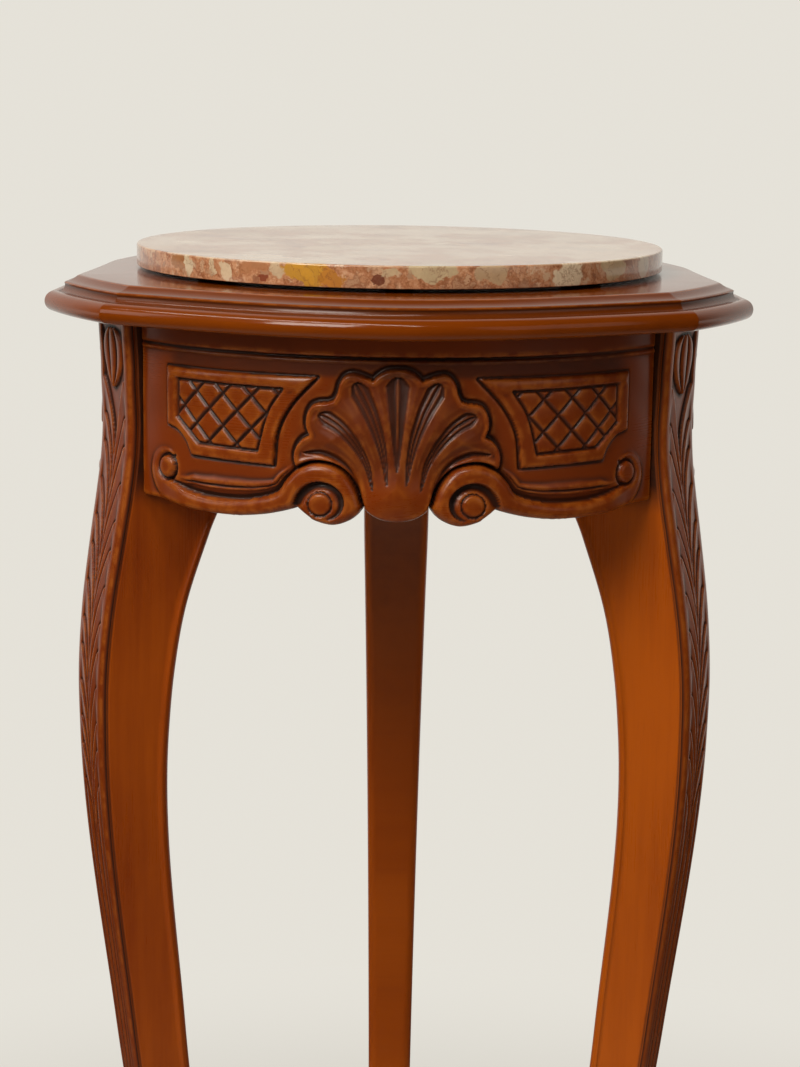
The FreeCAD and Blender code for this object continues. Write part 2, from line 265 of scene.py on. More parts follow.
def trellis_cartouche(height, side, up):
    """Raised flat frame with a hollow end towards the shell, round a field of lozenges between grooves."""
    hollow_end = smooth_curve([(34.0, 63.0), (45.2, 50.8), (51.5, 38.6), (53.2, 23.8)])
    notch = smooth_curve([(95.4, 24.5), (98.4, 30.4), (103.4, 34.8), (110.2, 36.8)])
    outer = np.vstack([hollow_end, notch, [(110.4, 62.6)]])
    depth = outline_depth(outer, side, up)
    field_depth, from_groove = trellis_grooves(side, up)
    groove_floor = -0.6
    on_top = smooth_step(55.5, 58.5, up)
    across_frame = depth / np.maximum(depth - np.minimum(field_depth, 0.0), 0.1)
    crown = bead(2.0 * np.clip(across_frame, 0.0, 1.0) - 1.0, 1.0)
    flat_band = 1.1 * quarter_round(depth, 0.9) + 0.2 * crown
    band = flat_band + on_top * (0.1 + 1.7 * crown - flat_band)
    band = band + (groove_floor - band) * smooth_step(-0.9, 0.0, field_depth)
    incised = path_distance(hollow_end, side, up)[0]
    height = height - 0.5 * gouge(depth + 0.5, 0.9)
    height = np.where(depth > 0.0, band, height) - 1.0 * gouge(incised, 0.9)
    lozenges = groove_floor + 1.15 * (1.0 - gouge(from_groove, 1.15)) + 0.06 * np.clip(from_groove, 0.0, 4.0)
    return np.where(field_depth > 0.0, lozenges, height)


def shell_depth(side, up):
    """Depth of grid points inside the shell's scalloped outline, negative outside it."""
    rim = np.vstack([smooth_curve(lobe) for lobe in shell_lobes])
    beside_volute = moulding_groove[moulding_groove[:, 0] < 42.0]
    past_middle = [(-60.0, 1.3), (-60.0, 67.4)]
    return outline_depth(np.vstack([rim, beside_volute, knob_under, past_middle]), side, up)


def flute_places(side, up):
    """For each flute: distance from its middle line, side of it, half-width and depth of the cut."""
    for path, half_width in zip(flute_paths, flute_half_widths):
        distance, hand, travelled = path_distance(smooth_curve(path), side, up)
        rounded_end = np.sqrt(np.clip(travelled / 0.10, 0.0, 1.0))
        half = (0.5 + (half_width - 0.5) * (1.0 - travelled) ** 0.9) * rounded_end
        deep = 0.3 + 1.7 * (1.0 - travelled) ** 0.6
        yield distance, hand, half, deep


def shell(height, side, up):
    """Scallop shell: fluted lobes fanning up and out from a smooth knob between the volutes."""
    depth = shell_depth(side, up)
    rim = 0.45 * gouge(depth - 1.2, 2.0) * smooth_step(14.0, 26.0, up)
    body = 2.8 + 2.4 * smooth_step(0.0, 20.0, depth) + rim
    knob = np.hypot(side / 19.0, (up - 9.0) / np.where(up > 9.0, 19.0, 12.0))
    body = body + 2.6 * gouge(knob, 1.0)
    from_flutes = np.full(height.shape, np.inf)
    for (distance, hand, half, deep), ridges in zip(flute_places(side, up), flute_ridges):
        within = distance / np.maximum(half, 0.05)
        cut = deep * np.sqrt(np.clip(1.0 - within ** 2, 0.0, 1.0))
        for ridge in ridges:
            cut = cut - 0.55 * deep * gouge(hand * within - ridge, 0.24)
        body = body - np.where(within < 1.0, np.maximum(cut, 0.0), 0.0)
        from_flutes = np.minimum(from_flutes, distance - half)
    distance, _, travelled = path_distance(crescent_path, side, up)
    half = 0.4 + 2.0 * np.sin(np.pi * travelled) ** 0.7
    body = body - 1.9 * gouge(distance, half)
    from_flutes = np.minimum(from_flutes, distance - half)
    body = body + 0.7 * np.maximum(smooth_step(0.0, 4.0, from_flutes), 1.0 - smooth_step(14.0, 34.0, up))
    height = height - 0.9 * gouge(depth + 0.9, 1.6)
    return np.where(depth > 0.0, body * quarter_round(depth, 1.2), height)


def moulding_lines(side, up):
    """Distance from the groove above the lower band, its half-width, and how far along it, 0 to 1."""
    distance, _, travelled = path_distance(moulding_groove, side, up)
    half = np.interp(travelled, (0.0, 0.18, 0.24, 0.35, 0.50, 0.62, 0.82, 1.0),
                     (0.9, 1.1, 2.2, 3.8, 3.5, 1.6, 1.3, 1.6))
    return distance, half, travelled


def scroll_moulding(height, side, up):
    """Hollow moulding with a fine fillet, running above the lower band and round the volute."""
    distance, groove_half, travelled = moulding_lines(side, up)
    width = np.interp(travelled, (0.0, 0.22, 0.28, 0.37, 0.47, 0.55, 0.62, 0.70, 1.0),
                      (2.0, 5.0, 8.6, 10.4, 9.8, 8.0, 5.8, 3.2, 2.4))
    present = smooth_step(0.20, 0.27, travelled) * (1.0 - smooth_step(0.63, 0.73, travelled))
    across = distance / width
    roll = 0.8 * smooth_step(1.02, 0.72, across) - 1.6 * smooth_step(0.66, 0.54, across)
    fillet = 0.9 * gouge(across - 0.46, 0.10)
    height = height + present * (roll + fillet)
    groove_deep = np.interp(travelled, (0.0, 0.22, 0.35, 0.62, 1.0), (0.9, 1.3, 1.9, 1.5, 2.2))
    share = gouge(distance, groove_half)
    return height * (1.0 - share) - groove_deep * share


def volute_band(height, side, up):
    """Rounded lower band, from a small roll near the leg to a volute that winds round a domed eye."""
    depth = outline_depth(scroll_outline, side, up)
    near_volute = 1.0 - smooth_step(40.0, 60.0, side)
    band = (2.7 + 2.1 * near_volute) * quarter_round(depth, 3.3 + 0.6 * near_volute)
    distance, hand, travelled = path_distance(spiral_groove, side, up)
    groove_half = np.interp(travelled, (0.0, 0.35, 0.7, 1.0), (2.6, 2.4, 2.2, 0.7))
    groove_deep = np.interp(travelled, (0.0, 0.12, 0.35, 0.7, 1.0), (1.4, 3.2, 3.8, 3.2, 0.6))
    inward = hand * distance / groove_half
    outer_wall = smooth_step(-1.15, -0.70, inward)
    rising_floor = 1.0 - 0.6 * smooth_step(-0.40, 1.30, inward)
    band = band - groove_deep * outer_wall * rising_floor
    eye = np.hypot(side - volute_eye[0], up - volute_eye[1])
    dome = 3.7 * quarter_round(eye_radius - eye, 1.8) + 0.7 * bead(eye, eye_radius)
    band = np.where(eye < eye_radius, np.maximum(band - 1.1, dome), band)
    near_tail = smooth_step(96.0, 114.0, side)
    band = band * (1.0 - near_tail * (0.55 + 0.35 * smooth_step(12.0, 24.0, up)))
    height = np.where(depth > 0.0, band, height)
    roll = np.hypot(side - tail_roll[0], up - tail_roll[1])
    outlined = 0.4 + 0.6 * smooth_step(-2.0, 1.0, tail_roll[0] - side)
    height = height - 1.5 * gouge(roll - tail_roll_radius - 0.8, 1.2) * outlined
    raised = np.maximum(height, 1.5 * quarter_round(tail_roll_radius - roll, 2.2))
    return np.where(roll < tail_roll_radius, raised, height)


def lower_edge(side):
    """Height of the sawn lower edge: knob, volutes and rails with small notches between them."""
    edge = np.vstack([knob_under[::-1], volute_under[1:], rail_under[1:], [(118.0, 2.0), (140.0, 1.4)]])
    return np.interp(side, edge[:, 0], edge[:, 1])


def apron_carving(along, up):
    """Height of the whole carving above the panel's ground, which is faintly wavy from hand work."""
    side = np.abs(along)
    height = 0.05 * np.sin(0.21 * along + 0.9) * np.sin(0.24 * up + 0.05 * along)
    height = fascia(height, side, up)
    height = trellis_cartouche(height, side, up)
    height = shell(height, side, up)
    height = scroll_moulding(height, side, up)
    height = volute_band(height, side, up)
    height = height - 2.0 * (1.0 - quarter_round(up - lower_edge(side), 2.2))
    return height - 1.4 * (1.0 - quarter_round(apron_half_length - side, 1.6))


def apron_wax_and_shade(height, along, up):
    """Dark waxed hollows of an apron, a little less on its right half, and its rubbed crests; also a darker
    shell, a fascia partly stained darker and partly painted with shade from the top's overhang, and painted
    shade on the strip above the frame.
    """
    side = np.abs(along)
    on_right = smooth_step(20.0, 60.0, along)
    hollow, crest = patina(height)
    distance, half, _ = moulding_lines(side, up)
    on_band = outline_depth(scroll_outline, side, up) > 0.0
    in_moulding = (0.45 - 0.25 * on_right) * gouge(distance, 1.1 * half)
    hollow = np.maximum(hollow, np.where(on_band, 0.0, in_moulding))
    field_depth, from_groove = trellis_grooves(side, up)
    hollow = np.maximum(hollow, np.where(field_depth > 0.0, 0.75 * gouge(from_groove, 1.4), 0.0))
    hollow = hollow * (1.0 - 0.22 * on_right)
    # The whole shell is darkened a little, and its flutes are kept from going black
    in_shell = smooth_step(1.0, 5.0, shell_depth(side, up)) * smooth_step(14.0, 26.0, up)
    hollow = np.clip(hollow, 0.28 * in_shell, 1.0 - 0.24 * in_shell)
    for from_flute, _, flute_half, _ in flute_places(side, up):
        hollow = hollow + 0.3 * bead(from_flute, np.maximum(flute_half, 0.05)) * (1.0 - hollow)
    # The fascia under the top is darkened: partly a darker stain, partly painted shade from the top's
    # overhang
    fascia_stain_and_shade = smooth_step(fascia_foot, fascia_foot + 1.5, up) * smooth_step(20.0, 70.0, side)
    # Painted shade: the strip between the fascia and the frame's top is darkened where the top's overhang
    # shades it
    shade_above_frame = smooth_step(62.0, 65.0, up) * (1.0 - smooth_step(102.0, 113.0, side))
    hollow = np.maximum(hollow, 0.16 * fascia_stain_and_shade)
    hollow = np.maximum(hollow, 0.55 * shade_above_frame * (up < fascia_foot))
    return hollow, crest


# Meshes
def grid_faces(rows, columns, first=0, closed=False):
    """Quads of a grid of points, row after row, with its columns joined into rings if closed."""
    r = np.arange(rows - 1)[:, None] * columns
    c = np.arange(columns if closed else columns - 1)[None, :]
    right = (c + 1) % columns
    quads = np.stack([r + c, r + right, r + columns + right, r + columns + c], axis=-1)
    return (quads.reshape(-1, 4) + first).tolist()


def tube_faces(rows, columns, first=0):
    """Faces of rings that run round the axis and down, with a flat cap on the first and the last ring."""
    last = first + (rows - 1) * columns
    faces = [quad[::-1] for quad in grid_faces(rows, columns, first, closed=True)]
    faces.append(list(range(first, first + columns)))
    faces.append(list(range(last, last + columns))[::-1])
    return faces


def ring_points(rings, turns):
    """Points of rings about the axis, each given by its radius and level, at turns in radians."""
    rows = []
    for radius, level in rings:
        levels = np.full(len(turns), level)
        rows.append(np.stack([radius * np.cos(turns), radius * np.sin(turns), levels], axis=-1))
    return np.vstack(rows)


def add_piece(name, points, faces, material, body, replaced, values=None, sharp_angle=None):
    """Mesh object from points in millimetres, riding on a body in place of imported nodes."""
    mesh = bpy.data.meshes.new(name)
    mesh.from_pydata((np.asarray(points) * MM).tolist(), [], faces)
    mesh.validate()
    for key, data in (values or {}).items():
        data = np.asarray(data, float)
        kind = "FLOAT_VECTOR" if data.ndim == 2 else "FLOAT"
        attribute = mesh.attributes.new(key, kind, "POINT")
        attribute.data.foreach_set("vector" if data.ndim == 2 else "value", data.ravel())
    mesh.shade_smooth()
    if sharp_angle is not None:
        mesh.set_sharp_from_angle(angle=math.radians(sharp_angle))
    mesh.materials.append(material)
    piece = bpy.data.objects.new(name, mesh)
    bpy.context.scene.collection.objects.link(piece)
    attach(piece, body)
    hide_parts(*replaced)


def turned_about_axis(points, angle):
    """Points turned about the stand's axis by an angle in degrees."""
    turn = math.radians(angle)
    x = points[..., 0] * math.cos(turn) - points[..., 1] * math.sin(turn)
    y = points[..., 0] * math.sin(turn) + points[..., 1] * math.cos(turn)
    return np.stack([x, y, points[..., 2]], axis=-1)


def bowed(across, radius, up, gap):
    """Points of a bowed face with across from -1 to 1, its ends a gap away from the posts."""
    turn = np.radians(half_sector) - np.arcsin((post_width / 2 + gap) / radius)
    angle = across * turn
    return np.stack([radius * np.cos(angle), radius * np.sin(angle), carving_base + up], axis=-1)


def apron_mesh(ground_radius):
    """Points, faces and surface values of one apron with its middle on the +X side."""
    columns = int(2 * apron_half_length / carving_cell) + 1
    rows = int(apron_rise / carving_cell) + 1
    back_rows = 9
    across = np.linspace(-1.0, 1.0, columns)[None, :]
    lower = lower_edge(np.abs(across * apron_half_length))
    up = lower + np.linspace(0.0, 1.0, rows)[:, None] * (apron_rise - lower)
    back_up = lower + np.linspace(0.0, 1.0, back_rows)[:, None] * (apron_rise - lower)
    along = np.broadcast_to(across * apron_half_length, up.shape)
    height = apron_carving(along, up)
    hollow, crest = apron_wax_and_shade(height, along, up)
    front = bowed(across, ground_radius + height, up, apron_end_gap)
    back = bowed(across, np.full(back_up.shape, apron_back_radius), back_up, 0.0)
    points = np.vstack([front.reshape(-1, 3), back.reshape(-1, 3)])
    first_back = rows * columns
    last_front = first_back - columns
    last_back = first_back + (back_rows - 1) * columns
    faces = grid_faces(rows, columns)
    faces += [quad[::-1] for quad in grid_faces(back_rows, columns, first_back)]
    for c in range(columns - 1):
        faces.append([c + 1, c, first_back + c, first_back + c + 1])
        faces.append([last_front + c, last_front + c + 1, last_back + c + 1, last_back + c])
    for c, flip in ((0, 1), (columns - 1, -1)):
        rim = [r * columns + c for r in range(rows)]
        rim += [first_back + r * columns + c for r in reversed(range(back_rows))]
        faces.append(rim[::flip])
    plain = np.zeros(back_up.size)
    front_grain = np.stack([height.ravel(), up.ravel(), along.ravel()], axis=-1)
    back_grain = np.stack([plain - apron_thickness, back_up.ravel(), np.tile(along[0], back_rows)], axis=-1)
    values = {
        "hollow": np.concatenate([hollow.ravel(), plain]),
        "crest": np.concatenate([crest.ravel(), plain]),
        "carved": np.concatenate([np.ones(height.size), plain]),
        "grain": np.vstack([front_grain, back_grain]) * MM,
    }
    return points, faces, values


# Cabriole leg: stations down the leg as drop below its top, front and back radius and widths
leg_height = frame_top - foot_bottom
leg_stations = np.array([
    (0.0, 150.0, post_back_radius, post_width, post_width),
    (25.0, 148.9, post_back_radius, post_width, post_width),
    (50.0, 148.3, post_back_radius, post_width, post_width),
    (66.0, 149.4, post_back_radius, post_width, post_width),
    (80.0, 151.4, post_back_radius, post_width, post_width),
    (100.0, 154.8, 107.0, 33.8, post_width),
    (135.0, 160.2, 119.5, 31.0, 34.5),
    (165.0, 162.6, 125.0, 28.8, 33.2),
    (192.0, 162.5, 127.5, 27.0, 32.0),
    (338.0, 147.0, 118.5, 19.5, 26.0),
    (482.3, 126.0, 101.5, 18.0, 22.0),
    (626.6, 113.0, 89.0, 18.0, 21.0),
    (700.0, 112.6, 91.5, 19.0, 21.5),
    (leg_height, 120.0, 103.0, 22.0, 23.0),
])

# Edges of a leg: depth and reach of the front rounding as shares of the half width, the strip beside
# it with fine steps, the share of the flank where wider steps begin, and the rounding at the back
edge_depth = 0.17
edge_reach = 0.29
edge_strip = 5.2
strip_to_flank = 0.0661
leg_back_round = 5.0

# Scroll at the toe: the roll with its rounded rims, the spiral on its ends and the grooves round it
toe_roll_radius = 14.0
toe_roll_place = 127.0
toe_roll_width = 28.0
toe_roll_edge = 1.5
toe_spiral_pitch = 3.6
toe_groove_spacing = 8.0

# Leaves on a leg's front in groups of three, the bud above them and the sunk field that they lie in
leaf_group = 47.0
leaf_tips = np.array([0.0, 17.0, 30.0, leaf_group])
leaf_groups = 4
leaf_first_tip = 25.0
leaf_length = 46.0
leaf_bend = 2.2
tip_round = 3.4
tip_share = 0.76
field_sunk = 1.1
bud_top = 5.0
bud_length = 27.0
plain_below = leaf_first_tip + leaf_group * leaf_groups + leaf_length + 10.0


def leg_shape(drop):
    """Front radius, back radius, front width and back width at drops below the top of the leg."""
    return [cubic_through(leg_stations[:, 0], leg_stations[:, i], drop) for i in range(1, 5)]


def leaf_carving(sideways, drop, half_width):
    """Height of the carving on a leg's front: bud and long leaf pairs inside a border, reeds further down."""
    x = np.abs(sideways)
    field_half = 0.67 * half_width
    share = np.clip(x / field_half, 0.02, 1.0)
    at_tip = np.clip((share - tip_share) / (1.0 - tip_share), 0.0, 1.0)
    drawn_in = leaf_length * (1.0 - share ** (1.0 / leaf_bend)) + tip_round * at_tip ** 2
    down = drop - drawn_in - leaf_first_tip
    steepness = leaf_length / leaf_bend * share ** (1.0 / leaf_bend - 1.0)
    steepness = steepness - 2.0 * tip_round * at_tip / (1.0 - tip_share)
    squeeze = np.hypot(1.0, steepness / field_half)
    in_group = np.mod(down, leaf_group)
    leaf = np.searchsorted(leaf_tips, in_group, "right").clip(1, len(leaf_tips) - 1)
    below = (in_group - leaf_tips[leaf - 1]) / squeeze
    above = (leaf_tips[leaf] - in_group) / squeeze
    leaves = quarter_round(np.minimum(1.6 * below, above), 1.4) + 0.4 * (above - below) / (above + below)
    leaves = np.maximum(leaves, 0.9 * bead(x, 1.2))
    reed_half = field_half / 3.0
    reeds = 1.1 * bead(x - np.where(x < reed_half, 0.0, 2.0 * reed_half), reed_half)
    carved = np.where(down < leaf_group * leaf_groups, leaves, reeds) * (down > 0.0)
    v = np.clip((drop - bud_top) / bud_length, 0.001, 0.999)
    bud_half = field_half * 0.90 * np.sin(np.pi * v ** 0.72) ** 0.6
    on_bud = x / np.maximum(bud_half, 0.05)
    petals = np.maximum(1.7 * bead(on_bud, 0.36), 1.4 * bead(on_bud - 0.68, 0.32))
    carved = np.where((on_bud < 1.0) & (v > 0.001) & (v < 0.999), petals, carved)
    sunk = (1.0 - smooth_step(-0.9, 0.0, x - field_half)) * smooth_step(bud_top - 4.0, bud_top + 3.0, drop)
    return sunk * (carved - field_sunk)


def leg_mesh():
    """Points, faces and surface values of one leg on the +X side: x is the radius, y the width."""
    carved_step, plain_rows = 0.55, 190
    front_points, side_points = 73, 9
    carved_drops = np.arange(0.0, plain_below, carved_step)
    drop = np.concatenate([carved_drops, np.linspace(plain_below, leg_height, plain_rows)])[:, None]
    front_radius, back_radius, front_width, back_width = leg_shape(drop)
    front_half = front_width / 2
    sideways = np.linspace(-1.0, 1.0, front_points)[None, :] * front_half
    corner = edge_depth * front_half
    height = leaf_carving(sideways, drop, front_half)
    height = height - corner * (1.0 - quarter_round(front_half - np.abs(sideways), edge_reach * front_half))
    hollow, crest = patina(height)
    depth = front_radius - back_radius
    flank = depth - corner - leg_back_round - edge_strip
    strip_into = corner + np.linspace(0.4, edge_strip, side_points)[None, :]
    flank_into = corner + edge_strip + np.linspace(strip_to_flank, 1.0, side_points)[None, :] * flank
    into = np.concatenate([strip_into, flank_into], axis=1)
    quirk = gouge(into - corner - 0.9, 0.7)
    side_half = (front_width + (back_width - front_width) * into / depth) / 2 - 0.5 * quirk
    turn = np.linspace(0.0, np.pi / 2, side_points)[None, :]
    arc_into = depth - leg_back_round * (1.0 - np.sin(turn))
    arc_half = back_width / 2 - leg_back_round * (1.0 - np.cos(turn))
    right_x = front_radius - np.concatenate([into, arc_into], axis=1)
    right_y = np.concatenate([side_half, arc_half], axis=1)
    loop_x = np.concatenate([front_radius + height, right_x, right_x[:, ::-1]], axis=1)
    loop_y = np.concatenate([sideways, right_y, -right_y[:, ::-1]], axis=1)
    loop_z = np.broadcast_to(frame_top - drop, loop_x.shape)
    points = np.stack([loop_x, loop_y, loop_z], axis=-1).reshape(-1, 3)
    # Painted shade: the flank beside the apron is darkened almost to the wax tone, where the apron and the
    # post shade it
    shade_beside_apron = 0.97 * (1.0 - smooth_step(apron_rise - 12.0, apron_rise + 5.0, drop))
    shade_beside_apron = shade_beside_apron * smooth_step(1.0, 2.2, into - corner)
    # Painted shade: the inner face is darkened near the top of the leg, where the aprons and the top shade it
    shade_on_inner_face = 0.5 * (1.0 - smooth_step(90.0, 330.0, drop)) * np.sin(turn) ** 8
    # Dark wax in the quirk, with the painted shade beside the apron and on the inner face
    side_wax_and_shade = np.concatenate([np.maximum(0.7 * quirk, shade_beside_apron), shade_on_inner_face], axis=1)
    bare = np.zeros_like(side_wax_and_shade)
    loop_hollow = np.concatenate([hollow, side_wax_and_shade, side_wax_and_shade[:, ::-1]], axis=1)
    loop_crest = np.concatenate([crest, bare, bare], axis=1)
    loop_carved = np.concatenate([np.ones_like(hollow), bare, bare], axis=1)
    roll_points, roll_faces, roll_hollow = toe_roll(len(points))
    faces = tube_faces(*loop_x.shape) + roll_faces
    points = np.vstack([points, roll_points])
    plain = np.zeros_like(roll_hollow)
    values = {
        "hollow": np.concatenate([loop_hollow.ravel(), roll_hollow]),
        "crest": np.concatenate([loop_crest.ravel(), plain]),
        "carved": np.concatenate([loop_carved.ravel(), plain]),
        "grain": np.abs(points) * MM,
    }
    return points, faces, values


def toe_roll(first):
    """Scroll at the toe: a roll lying across the foot, with a spiral cut into both of its ends."""
    turn = np.linspace(0.0, 2 * np.pi, 96, endpoint=False)[None, :]
    around = np.zeros_like(turn)
    half = toe_roll_width / 2
    end_radius = np.linspace(0.02, 1.0, 27)[:, None] * (toe_roll_radius - toe_roll_edge) + around
    winding = (end_radius - 2.6) / toe_spiral_pitch - turn / (2 * np.pi)
    spiral = gouge((winding - np.round(winding)) * toe_spiral_pitch, 0.9) * smooth_step(2.0, 3.2, end_radius)
    spiral = spiral * (1.0 - smooth_step(toe_roll_radius - 2.6, toe_roll_radius - 1.6, end_radius))
    end_y = half + 0.6 * (1.0 - end_radius / toe_roll_radius) - 1.3 * spiral
    edge_turn = np.linspace(0.0, np.pi / 2, 5)[1:, None] + around
    edge_radius = toe_roll_radius - toe_roll_edge * (1.0 - np.sin(edge_turn))
    edge_y = half - toe_roll_edge * (1.0 - np.cos(edge_turn))
    side_y = np.linspace(half - 2.0, 2.0 - half, 13)[:, None] + around
    from_groove = side_y - np.round(side_y / toe_groove_spacing) * toe_groove_spacing
    side_radius = toe_roll_radius - 0.5 * gouge(from_groove, 1.6)
    radius = np.vstack([end_radius, edge_radius, side_radius, edge_radius[::-1], end_radius[::-1]])
    y = np.vstack([end_y, edge_y, side_y, -edge_y[::-1], -end_y[::-1]])
    hollow = np.vstack([spiral, 0 * edge_y, 0 * side_y, 0 * edge_y, spiral[::-1]])
    x = toe_roll_place + radius * np.cos(turn)
    z = foot_bottom + toe_roll_radius + radius * np.sin(turn)
    faces = [face[::-1] for face in tube_faces(*radius.shape, first)]
    return np.stack([x, y, z], axis=-1).reshape(-1, 3), faces, hollow.ravel()


# Moulded top: radius of its flat's plan against the angle from the middle of a side
crease_angle = 49.5
crease_radius = 156.2
crease_gap = 0.12
corner_radius = 155.4
front_plan = np.array([(0.0, 149.6), (16.0, 147.6), (31.0, 147.2), (40.0, 150.0), (45.0, 152.7),
                       (crease_angle, crease_radius)])
back_plan = np.array([(0.0, 144.6), (16.0, 142.6), (29.0, 142.0), (38.0, 145.4), (44.0, 150.2),
                      (crease_angle, crease_radius)])
top_plans = {"front": front_plan, "back_right": back_plan, "back_left": back_plan}

# Moulded edge of the top: a swelling slope, a cove and a round nose, as reach and drop
slope_start = (0.5, 0.6)
slope_run = (5.2, 2.3)
slope_swell = 0.45
cove_start = (6.1, 4.2)
cove_run = (3.1, 3.35)
nose_radius = 4.65
nose_reach = 15.7
nose_start = 112.0


def top_radius(turn, plan):
    """Radius of the flat's plan at an angle in degrees from the middle of the nearest side."""
    side = cubic_through(plan[:, 0], plan[:, 1], np.minimum(np.abs(turn), crease_angle))
    past = (half_sector - np.abs(turn)) / (half_sector - crease_angle)
    corner = corner_radius - (corner_radius - plan[-1, 1]) * past ** 2
    return np.where(np.abs(turn) <= crease_angle, side, corner)


def top_profile():
    """Moulded edge from the flat down to the underside: reach beyond the flat, drop below it, and a value for
    rubbing and darkening that also paints light: arrises rubbed lighter where their highlights fall, a cove
    darkened where the arris above it shades it.
    """
    thickness = top_face - frame_top
    # The flat's rounded arris is rubbed lighter, which also paints the highlight along it
    points = [(-1.4, 0.0, 0.0), (-0.5, 0.06, 0.5), (0.1, 0.32, 1.0)]
    for t in np.linspace(0.0, 1.0, 7):
        drop = slope_start[1] + slope_run[1] * t + slope_swell * math.sin(math.pi * t)
        points.append((slope_start[0] + slope_run[0] * t, drop, -0.14))
    # The lower arris is rubbed lighter, which also paints its highlight
    points += [(6.1, 3.1, 0.8), (6.35, 3.4, 1.0), (6.25, 3.9, 0.2)]
    # The cove is darkest at its top and its foot: painted shade under the arris above, and dark wax in the
    # quirk against the nose
    for turn in np.linspace(0.0, math.pi / 2, 9):
        reach = cove_start[0] + cove_run[0] * (1.0 - math.cos(turn))
        drop = cove_start[1] + cove_run[1] * math.sin(turn)
        points.append((reach, drop, -0.75 + 0.5 * math.sin(2 * turn)))
    for turn in np.linspace(math.radians(nose_start), -math.pi / 2, 27):
        reach = nose_reach - nose_radius + nose_radius * math.cos(turn)
        drop = thickness - nose_radius - nose_radius * math.sin(turn)
        points.append((reach, drop, 0.0))
    points.append((0.0, thickness, 0.0))
    return points


def top_mesh():
    """Points, faces and surface values of the moulded top, in rings from its middle out and back below."""
    side_turns = np.linspace(crease_gap - crease_angle, crease_angle - crease_gap, 121)
    corner_turns = np.linspace(crease_angle + crease_gap, half_sector, 15)
    turns = [-corner_turns[::-1], [-crease_angle], side_turns, [crease_angle], corner_turns[:-1]]
    turns = np.concatenate(turns)
    angles = np.radians(np.concatenate([turns + apron_angles[name] for name in top_plans]))
    radii = np.concatenate([top_radius(turns, plan) for plan in top_plans.values()])
    # Under the disc the flat is a little darker all over, a stain, and darker again in a ring just inside the
    # disc's rim: painted shade in the gap under the disc
    shade_under_disc = ((12.0, -0.2), (60.0, -0.2), (marble_radius - 22.0, -0.2), (marble_radius - 9.0, -0.6),
                  (marble_radius - 4.0, -0.3), (marble_radius + 1.0, 0.0))
    underside_shares = (0.85, 0.5, 0.12)
    rings = [(radius, top_face, wear_and_painted_light) for radius, wear_and_painted_light in shade_under_disc]
    rings += [(radii + reach, top_face - drop, wear_and_painted_light) for reach, drop, wear_and_painted_light in top_profile()]
    rings += [(share * radii, frame_top, 0.0) for share in underside_shares]
    points = ring_points([ring[:2] for ring in rings], angles)
    wear_and_painted_light = np.repeat([ring[2] for ring in rings], len(angles))
    values = {
        "hollow": np.clip(-wear_and_painted_light, 0.0, 1.0),
        "crest": np.clip(wear_and_painted_light, 0.0, 1.0),
        "carved": np.full(len(points), 0.8),
        "grain": points[:, [1, 2, 0]] * MM,
    }
    return points, tube_faces(len(rings), len(angles)), values


def marble_mesh():
    """Points and faces of the disc, with a small rounded arris above and a smaller one below."""
    arris = 0.9
    lower_arris = 0.4
    low, high = marble_low[2], marble_high[2]
    flat_radii = (10.0, 0.6 * marble_radius, marble_radius - 3.0)
    rings = [(radius, high) for radius in flat_radii]
    for turn in np.linspace(math.pi / 2, 0.0, 7):
        inward = arris * (1.0 - math.cos(turn))
        rings.append((marble_radius - inward, high - arris * (1.0 - math.sin(turn))))
    for turn in np.linspace(0.0, -math.pi / 2, 7):
        inward = lower_arris * (1.0 - math.cos(turn))
        rings.append((marble_radius - inward, low + lower_arris * (1.0 + math.sin(turn))))
    rings += [(radius, low) for radius in reversed(flat_radii)]
    turns = np.linspace(0.0, 2 * np.pi, 256, endpoint=False)
    return ring_points(rings, turns), tube_faces(len(rings), len(turns))


# Finishes, with colours as linear red, green and blue
class Field:
    """A shader socket: arithmetic on it adds Math nodes to its finish."""

    def __init__(self, finish, socket):
        self.finish = finish
        self.socket = socket

    def math(self, operation, *inputs, clamp=False):
        """Result of a Math node."""
        sockets = dict(enumerate(inputs))
        return self.finish.node("ShaderNodeMath", {"operation": operation, "use_clamp": clamp}, sockets)

    def __add__(self, other):
        return self.math("ADD", self, other)

    def __sub__(self, other):
        return self.math("SUBTRACT", self, other)

    def __rsub__(self, other):
        return self.math("SUBTRACT", other, self)

    def __mul__(self, other):
        return self.math("MULTIPLY", self, other)

    def __pow__(self, other):
        return self.math("POWER", self, other)

    __radd__ = __add__
    __rmul__ = __mul__

    def absolute(self):
        """Value without its sign."""
        return self.math("ABSOLUTE", self)

    def clamped(self):
        """Value kept between 0 and 1."""
        return self.math("ADD", self, 0.0, clamp=True)

    def between(self, low, high):
        """0 below low and 1 above high, with a soft slope between them."""
        return self.finish.node("ShaderNodeMapRange", {"interpolation_type": "SMOOTHSTEP"},
                                {"Value": self, "From Min": low, "From Max": high}, "Result")


